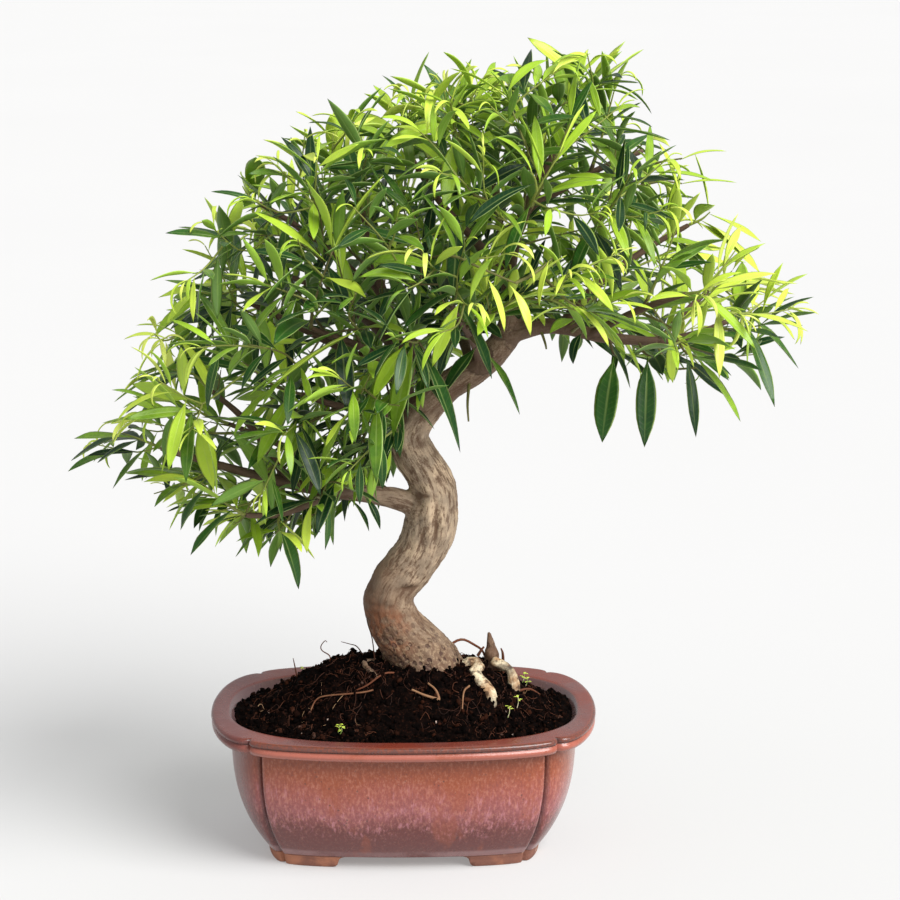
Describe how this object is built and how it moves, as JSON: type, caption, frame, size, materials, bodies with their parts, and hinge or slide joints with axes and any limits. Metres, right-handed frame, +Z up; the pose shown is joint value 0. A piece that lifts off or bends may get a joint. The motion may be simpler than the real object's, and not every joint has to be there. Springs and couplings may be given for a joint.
{
  "type": "willow leaf ficus bonsai",
  "caption": "Indoor bonsai tree with a curved trunk, spreading limbs and narrow willow-like leaves, planted in a lobed glazed ceramic pot on low feet.",
  "frame": {"origin": "under the middle of the whole outline, on the plane that the feet stand on", "axes": "+Z up, -Y towards the pot's front, +X to the right seen from the front"},
  "size_m": [0.371, 0.2267, 0.4194],
  "materials": {
    "pot_glaze": "glossy streaked glaze, red-brown over purple-pink, dark in the grooves",
    "foot_clay": "bare fired clay on the feet and the foot ring",
    "screen_plastic": "matt moulded plastic",
    "potting_soil": "damp dark soil with crumbs, fibres and grit",
    "bark": "smooth grey-brown bark with fine cracks and pores",
    "root_pale": "pale smooth root skin",
    "leaf": "glossy leaf with a pale midrib, dark when old and lime green when young"
  },
  "bodies": {
    "root": {"pot": "pot_glaze", "drain_screen_left": "screen_plastic", "drain_screen_right": "screen_plastic", "soil": "potting_soil", "trunk": "bark", "shoot_01": "leaf", "shoot_02": "leaf", "shoot_03": "leaf", "shoot_04": "leaf", "shoot_05": "leaf", "shoot_06": "leaf", "shoot_07": "leaf", "shoot_08": "leaf", "shoot_09": "leaf", "shoot_10": "leaf", "shoot_11": "leaf", "shoot_12": "leaf", "shoot_13": "leaf", "shoot_14": "leaf", "shoot_15": "leaf", "shoot_16": "leaf", "shoot_17": "leaf", "shoot_18": "leaf", "shoot_19": "leaf", "shoot_20": "leaf", "shoot_21": "leaf", "shoot_22": "leaf", "shoot_23": "leaf", "shoot_24": "leaf", "shoot_25": "leaf", "shoot_26": "leaf", "shoot_27": "leaf", "shoot_28": "leaf", "shoot_29": "leaf", "shoot_30": "leaf", "shoot_31": "leaf", "shoot_32": "leaf", "shoot_33": "leaf", "shoot_34": "leaf", "shoot_35": "leaf", "shoot_36": "leaf", "shoot_37": "leaf", "shoot_38": "leaf", "shoot_39": "leaf", "shoot_40": "leaf", "shoot_41": "leaf", "shoot_42": "leaf", "shoot_43": "leaf", "shoot_44": "leaf", "shoot_45": "leaf", "shoot_46": "leaf", "shoot_47": "leaf", "shoot_48": "leaf", "shoot_49": "leaf", "shoot_50": "leaf", "shoot_51": "leaf"}
  },
  "joints": []
}
